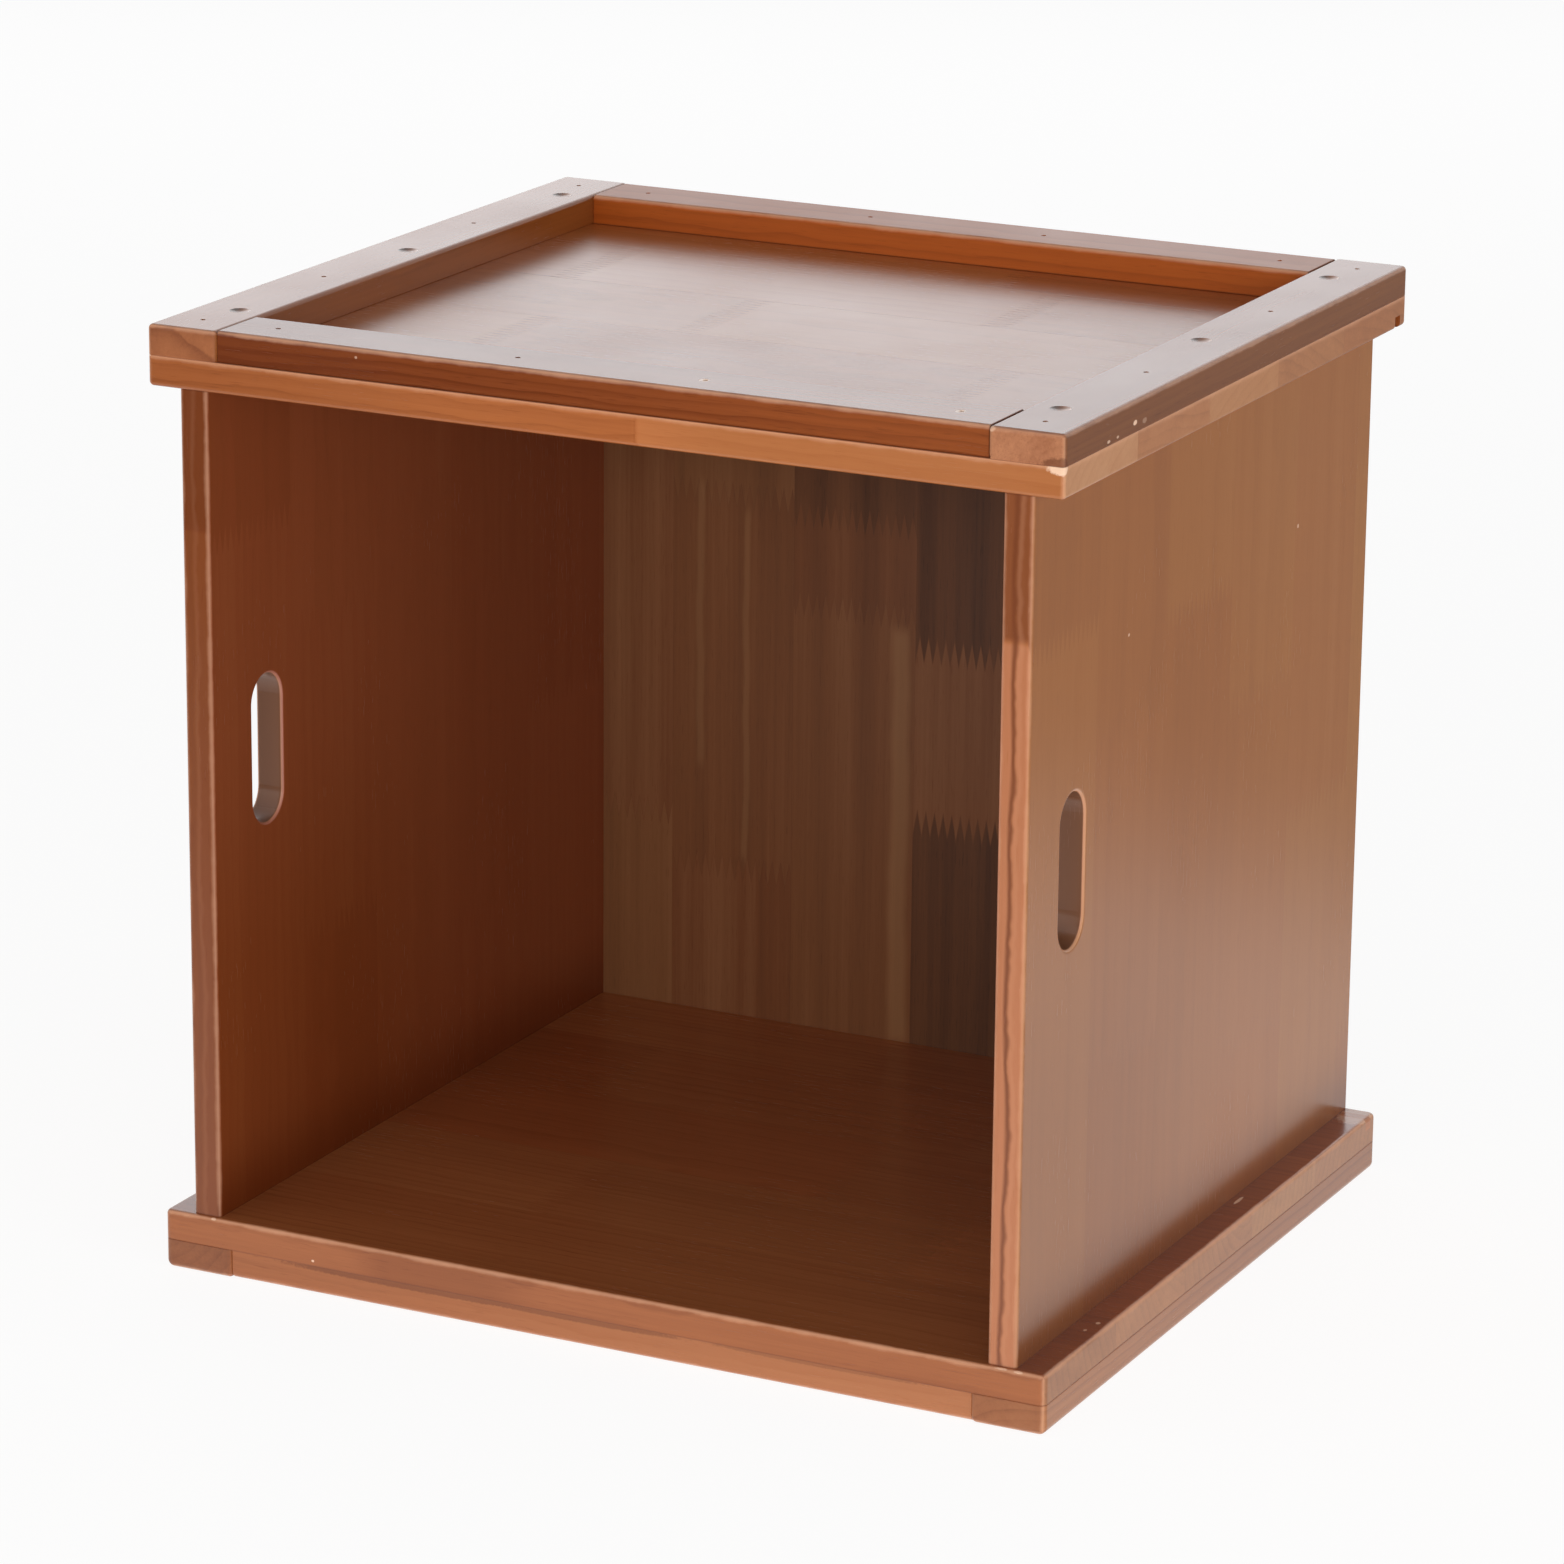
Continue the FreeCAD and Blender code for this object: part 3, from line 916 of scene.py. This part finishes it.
def bottom_shade_and_bay_light(tree, colour, axes, facing):
    """Darkens part of the bottom panel's front, paints shade on its ledges and paints light on its floor
    in the bay.
    """
    front = times(
        tree, fade(tree, facing["Y"], *front_step), fade_mm(tree, axes["X"], -110, -90),
        fade_mm(tree, axes["X"], -15, -50))
    colour = tinted(tree, front, colour, front_shade)
    aside = calc(tree, "ABSOLUTE", axes["X"])
    upper = fade(tree, facing["Z"], *upper_step)
    # Painted shade on the ledges beside the side panels, painted light on the floor of the bay.
    colour = tinted(tree, times(tree, upper, fade_mm(tree, aside, 176, 177)), colour, ledge_painted_shade)
    return tinted(tree, times(tree, upper, fade_mm(tree, aside, 167, 166)), colour, bay_painted_light)


stave_board(
    "top_panel", "XYZ", *long_grain, top_staves, 150, pale_end,
    chips=corner_splinter, meets={"-Z": 0.3}, extra=bleached_front)
stave_board(
    "bottom_panel", "XYZ", *long_grain, bottom_staves, 200, bottom_end,
    chips=base_chips, meets={"-Z": 0.45}, edge_tint=(1.18, 1.29, 1.5, 1), worn=0.8,
    extra=bottom_shade_and_bay_light)

# %% [markdown]
# The side panels are calm: their staves hardly show on the broad faces, where lacquer lies
# thickest. Their front edges are plainer to see. On the right one a joint parts a dark block from a
# pale one, and a growth line runs down the whole edge. Shade is painted on the walls of the hand
# slots as a dark colour, and their rims are rubbed pale. Shade is also painted along the foot of
# each panel, and more lightly over its lower front. A pale sheen is painted on the far end outside.
# Inside, away from the light, the stain has kept more of its red.

# %% Side panels
upright_grain = (-167, 63.5)
calm = {
    "ring_depth": 0.08, "streak_depth": 0.22, "fibre_depth": 0.08, "tone_depth": 0.1, "seam_depth": 0.04,
    "deep": (0.20, 0.058, 0.010, 1), "red": (0.335, 0.108, 0.020, 1),
    "gold": (0.355, 0.124, 0.024, 1), "bright": (0.46, 0.18, 0.05, 1),
}
redder = {**calm, "red": (0.300, 0.082, 0.020, 1), "gold": (0.325, 0.094, 0.024, 1)}
side_staves = [
    ([296], [0.8, 0.0]),
    ([120, 250], [0.5, 0.7, 0.3]),
    ([280], [0.4, 0.7]),
    ([90, 230], [0.7, 0.4, 0.6]),
    ([170], [0.5, 0.7]),
    ([60, 300], [0.6, 0.4, 0.5]),
]
side_chips = [((177.5, -75.7, 283.9), (0.5, 0.9, 0.7), 0.7), ((177.5, 89.4, 288.8), (0.5, 0.8, 1.0), 0.7)]
side_meets = {"+Z": 0.7, "-Z": 0.7}
slot_middle = -123 * mm
# Painted shade for the walls of the hand slots.
slot_shade_colour = (0.115, 0.044, 0.021, 1)
slot_rim_step = (0.98, 0.85)
slot_rim_share = 0.6
slot_wall_step = (0.5, 0.2)
slot_wall_share = 0.85
# Painted shade for the foot and the lower front.
foot_shade = (0.62, 0.52, 0.44, 1)
low_front_painted_shade = (0.84, 0.79, 0.62, 1)
# A painted pale sheen for the far end outside.
far_painted_sheen = (1.12, 1.22, 1.5, 1)
inner_shade = (0.93, 0.82, 1.1, 1)


def slot_wear_and_painted_light(tree, colour, axes, facing):
    """Paints shade on the hand slot's walls and bares its rim. Paints shade at the panel's foot and lower
    front, a pale sheen on its far end outside, and tints its inner face.
    """
    beside = gap(tree, axes["Y"], slot_middle)
    near = fade_mm(tree, beside, 16, 13)
    sideways = calc(tree, "ABSOLUTE", facing["X"])
    rim = times(tree, near, fade(tree, sideways, *slot_rim_step), slot_rim_share)
    # Painted shade on the slot's walls.
    wall_shade = times(tree, near, fade(tree, sideways, *slot_wall_step), slot_wall_share)
    colour = mix_colours(tree, rim, colour, worn_colour)
    colour = mix_colours(tree, wall_shade, colour, slot_shade_colour)
    # Painted shade at the foot of the panel and over its lower front.
    foot = calc(tree, "POWER", fade_mm(tree, axes["Z"], 72, 24), 2.0)
    low_front_shade = times(tree, fade_mm(tree, axes["Y"], 50, -80), fade_mm(tree, axes["Z"], 230, 110))
    colour = tinted(tree, times(tree, sideways, foot), colour, foot_shade)
    colour = tinted(tree, times(tree, sideways, low_front_shade), colour, low_front_painted_shade)
    outward = times(tree, facing["X"], axes["X"])
    # A painted pale sheen on the far end outside.
    far = times(
        tree, fade_mm(tree, axes["Y"], -20, 150), fade_mm(tree, axes["Z"], 100, 200),
        fade_mm(tree, outward, 50, 120))
    colour = tinted(tree, far, colour, far_painted_sheen)
    return tinted(tree, fade_mm(tree, outward, -50, -120), colour, inner_shade)


low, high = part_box("side_panel_right")
stave_board(
    "side_panel_right", "ZYX", *upright_grain, side_staves, 300, calm,
    meets=side_meets, edge_tint=(1.18, 1.18, 2.2, 1), edge_tone=0.82, chips=side_chips,
    line=(low.x + 5.4 * mm, 0.85), extra=slot_wear_and_painted_light)
stave_board(
    "side_panel_left", "ZYX", *upright_grain, side_staves, 360, redder,
    meets=side_meets, edge_tint=(0.64, 0.54, 0.52, 1), edge_tone=0.2,
    line=(-high.x + 3.5 * mm, 0.35), extra=slot_wear_and_painted_light)

# %% [markdown]
# The back panel is the one whose blocks differ most, and where its toothed joints are easy to see.
# It took less stain and no red, so its colours are its own, and it has only a thin coat of lacquer.
# Its staves go from left to right, with the joints as heights. Pale streaks of sapwood run along
# three of them, each given by its place, half its width, the heights where it starts and ends, and
# how strongly it shows. Towards the top, under the tray, shade is painted into the panel.

# %% Back panel
back_grain = (-189, 57)
back_gloss = 0.42
back_staves = [
    ([110, 290], [0.5, 0.6, 0.4]),
    ([90, 254], [0.55, 0.48, 0.5]),
    ([211, 250], [0.52, 0.45, 0.28]),
    ([122, 198], [0.18, 0.6, 0.2]),
    ([90, 230], [0.5, 0.4, 0.6]),
    ([150, 300], [0.6, 0.45, 0.55]),
    ([140, 310], [0.45, 0.6, 0.5]),
]
brown = {
    "tone_depth": 0.9, "streak_depth": 0.6, "ring_depth": 0.05, "seam_depth": 0.1,
    "deep": (0.052, 0.021, 0.011, 1), "red": (0.175, 0.062, 0.024, 1),
    "gold": (0.200, 0.080, 0.031, 1), "bright": (0.32, 0.15, 0.068, 1),
}
# Painted shade for the top of the back panel.
upper_shade = (0.58, 0.56, 0.50, 1)
sapwood_colour = (0.34, 0.175, 0.078, 1)
sapwood_streaks = [
    (-24.5, 6, 20, 209, 0.45),
    (-97, 2.2, 90, 252, 0.25),
    (-119, 2.5, 130, 262, 0.25),
    (74, 2.4, 100, 225, 0.25),
]
streak_end = 8
streak_core = 0.3
waver_speed = 18.0
waver_reach = 5 * mm


def top_shade_and_sapwood(tree, colour, axes, facing):
    """Paints shade on the panel's top and lays narrow pale streaks along the grain, with a slow waver."""
    height = axes["Z"]
    # Painted shade towards the top, under the tray.
    colour = tinted(tree, fade_mm(tree, height, 230, 330), colour, upper_shade)
    climb = join(tree, times(tree, height, waver_speed))
    waver = minus(tree, noise(tree, climb), 0.5)
    aside = ramp(tree, waver, waver_reach, axes["X"])
    for middle, half_width, start, stop, share in sapwood_streaks:
        distance = gap(tree, aside, middle * mm)
        streak = times(
            tree, fade_mm(tree, distance, half_width, streak_core * half_width),
            fade_mm(tree, height, stop, stop - streak_end),
            fade_mm(tree, height, start, start + streak_end), share)
        colour = mix_colours(tree, streak, colour, sapwood_colour)
    return colour


stave_board(
    "back_panel", "ZXY", *back_grain, back_staves, 700, brown,
    worn=0.0, gloss=back_gloss, extra=top_shade_and_sapwood)

# %% [markdown]
# ## The rails
# Each rail is one length of wood. Where its pith lies decides how the growth rings run on its end:
# far off, they cross it as slanting lines, and close by, they curve round a corner. Each rail's row
# gives the pith as millimetres across and up from its middle, the ring width, the tone at its two
# ends and how far its hue leans to gold. The colour of its end grain and how strongly its rings
# show come last.

# %% Rail woods
def single_block(pith, tones, hue, shift, reach):
    """A source of wood for a board cut in one piece, with a tone that changes along its length."""
    def source(tree, along, across):
        drift = fade(tree, along, -reach, reach)
        tone = ramp(tree, drift, tones[1] - tones[0], tones[0])
        return {"Pith": pith, "Tone": tone, "Hue": hue, "Shift": shift, "Seam": 0.0}
    return source


pink_end = (1.9, 2.9, 5.0, 1)
amber_end = (1.0, 1.1, 1.4, 1)
dull_end = (0.85, 1.0, 1.35, 1)
rail_woods = {
    "rim_rail_left": ((-24, -55), 12.2, (0.3, 0.25), 0.7, amber_end, 0.15),
    "rim_rail_right": ((13, -9), 3.4, (-0.15, -0.05), 0.5, pink_end, 0.05),
    "rim_rail_front": ((-30, -60), 4.0, (-0.3, 0.05), 0.0, amber_end, 0.25),
    "rim_rail_back": ((20, -50), 5.0, (0.5, 0.55), 0.4, amber_end, 0.2),
    "base_rail_left": ((-25, 30), 5.0, (0.2, 0.4), 0.4, dull_end, 0.15),
    "base_rail_right": ((10, -40), 4.0, (0.5, 0.15), 0.6, dull_end, 0.2),
    "base_rail_front": ((30, 40), 6.0, (0.5, 1.05), 0.8, amber_end, 0.25),
    "base_rail_back": ((-15, 45), 5.0, (0.5, 0.4), 0.5, amber_end, 0.25),
}
print("rails planned:", len(rail_woods))

# %% [markdown]
# What else a rail has of its own is named: a tint for its upright faces, its gloss and wear, and
# its marks. Each has its place: bright wood round two brads of the front rail, where the stain
# flaked off as they were driven, and small chipped spots on the right rail. Painted shade stands for
# a wedge broken out of that rail's front end, and darkens the corner where it meets the front rail.
# Painted shade also lies in dark streaks along the top of the base's front rail, under the panel's
# lip. Short rails butt between long ones, so their ends are seams.

# %% Rails
rail_finishes = {
    "rim_rail_left": {
        "edge_tint": (0.84, 0.84, 0.66, 1),
        "end_rings": 0.55,
        "chips": [((-190, -166, 373), (0.8, 1, 0.8), 0.8)],
    },
    "rim_rail_right": {
        "edge_tint": (0.83, 0.97, 0.78, 1),
        "worn": 0.5,
        "chips": [
            ((190, -104, 371.7), (1, 1.9, 1.1), 1.0),
            ((190, -127.6, 369.5), (1, 1.6, 0.7), 0.7),
            ((190, -119.5, 369.6), (1, 1.2, 0.6), 0.6),
            ((190, -95.3, 370.8), (1, 2.2, 1.2), 0.25),
            ((161, -166, 379.4), (2.2, 1.5, 1.6), 0.5),
        ],
        # Painted shade: in the wedge broken out of the front end, and in the corner by the front rail.
        "painted_shade_marks": [((190, -166, 368.2), (11, 3, 3.6), 0.6), ((160.4, -166, 368.8), (0.8, 1.5, 0.8), 1.0)],
    },
    "rim_rail_front": {
        "edge_tint": (1.0, 0.95, 0.8, 1),
        "chips": [
            ((38.6, -149.8, 380), (2.2, 2.6, 1.2), 1.0),
            ((141.7, -149.8, 380), (2.2, 2.6, 1.2), 1.0),
            ((-99.6, -164.8, 376.4), (0.7, 1, 0.6), 0.45),
        ],
    },
    "rim_rail_back": {"edge_tint": (1.28, 0.98, 0.45, 1), "gloss": 0.42},
    "base_rail_left": {"edge_tint": (1.1, 1.25, 1.3, 1)},
    "base_rail_right": {"edge_tint": (1.02, 1.22, 1.3, 1)},
    "base_rail_front": {
        "edge_tint": (0.97, 1.02, 1.2, 1),
        # Painted shade along the top of the rail, under the panel's lip.
        "painted_shade_marks": [
            ((-80, -164.8, 10.9), (65, 1, 1.9), 0.5),
            ((-10, -164.8, 10.9), (55, 1, 1.7), 0.45),
            ((95, -164.8, 11.2), (50, 1, 1.2), 0.3),
        ],
    },
}
rail_wear = 0.85
shift_step = 1.7
for number, (rail, wood) in enumerate(rail_woods.items()):
    offset, ring_width, tones, hue, end_tint, ring_depth = wood
    low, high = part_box(rail)
    middle = (low + high) / 2
    crossing = high.x - low.x > high.y - low.y
    grain = "XYZ" if crossing else "YXZ"
    along, across, through = ("XYZ".index(axis) for axis in grain)
    pith = (middle[across] + offset[0] * mm, middle[through] + offset[1] * mm, 0)
    source = single_block(pith, tones, hue, shift_step * number, high[along])
    on_rim = rail.startswith("rim")
    panel_side = "-Z" if on_rim else "+Z"
    if crossing:
        meets = {panel_side: 0.7, "-X": 0.4 * on_rim, "+X": 0.4 * on_rim}
    else:
        meets = {panel_side: 0.0 if on_rim else 0.2, "+X" if middle.x < 0 else "-X": 0.0}
    stained_board(
        rail, grain, source, {"end_tint": end_tint, "ring_depth": ring_depth},
        {"ring_width": ring_width * mm}, meets, **{"worn": rail_wear, **rail_finishes.get(rail, {})})

# %% [markdown]
# ## Plugs and slips
# Wooden plugs close the screw holes in the rim. Their middles have sunk as the glue dried, so each
# is a shallow dish. Shade is painted into its left side and light into its right side, with a soft
# change between them. Slips of the same wood fill the ends of the grooves that hold the back.

# %% Plugs and slips
# A painted shadow and a painted highlight for each dish.
dish_shadow = (0.07, 0.028, 0.016, 1)
dish_light = (0.90, 0.62, 0.52, 1)
for side in ("left", "right"):
    plug = "rim_plugs_" + side
    low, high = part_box(plug)
    middle = (low.x + high.x) / 2

    def dished(tree, colour, axes, facing, middle=middle):
        """Paints shade into the left of each dish and light into its right."""
        aside = minus(tree, axes["X"], middle)
        colour = mix_colours(tree, fade_mm(tree, aside, -1.5, 3.5), colour, dish_light)
        return mix_colours(tree, fade_mm(tree, aside, 0.5, -3.5), colour, dish_shadow)

    plug_wood = single_block((0, 0.2, 0), (0.4, 0.4), 0.5, 3.0, high.x)
    stained_board(plug, "XYZ", plug_wood, worn=0.0, extra=dished)
slip_wood = single_block((0, 0.1, 0), (0.7, 0.7), 0.9, 4.0, 0.2)
stained_board("groove_slips", "XYZ", slip_wood, worn=0.2)

# %% [markdown]
# ## Steel
# The screws are zinc plated and lie deep in their counterbores, open to view only from below. The
# brads are bright wire, driven just under the surface. Both get a metal that is cloudy in tone and
# gloss, as plating is.

# %% Screws and brads
cloud_scales = (900, 900, 900)
cloud_roughness = 0.2


def plated_steel(name, pale, dull, roughness):
    """A metal with cloudy tone and gloss."""
    material = empty_material(name)
    tree = material.node_tree
    spot = place(tree, "ShaderNodeTexCoord").outputs["Object"]
    cloud = noise(tree, vector_calc(tree, "MULTIPLY", spot, cloud_scales), 3.0)
    metal = place(tree, "ShaderNodeBsdfPrincipled", {
        "Base Color": mix_colours(tree, cloud, pale, dull),
        "Roughness": ramp(tree, cloud, cloud_roughness, roughness),
        "Metallic": 1.0,
    })
    place(tree, "ShaderNodeOutputMaterial", {"Surface": metal.outputs["BSDF"]})
    return material


steels = {
    "screws": plated_steel("screw_steel", (0.62, 0.58, 0.48, 1), (0.45, 0.41, 0.33, 1), 0.25),
    "brads": plated_steel("brad_steel", (0.66, 0.65, 0.62, 1), (0.42, 0.4, 0.37, 1), 0.22),
}
fasteners = 0
for name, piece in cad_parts.items():
    for word, steel in steels.items():
        if word in name:
            piece.data.materials.clear()
            piece.data.materials.append(steel)
            fasteners += 1
print("groups of fasteners dressed:", fasteners)
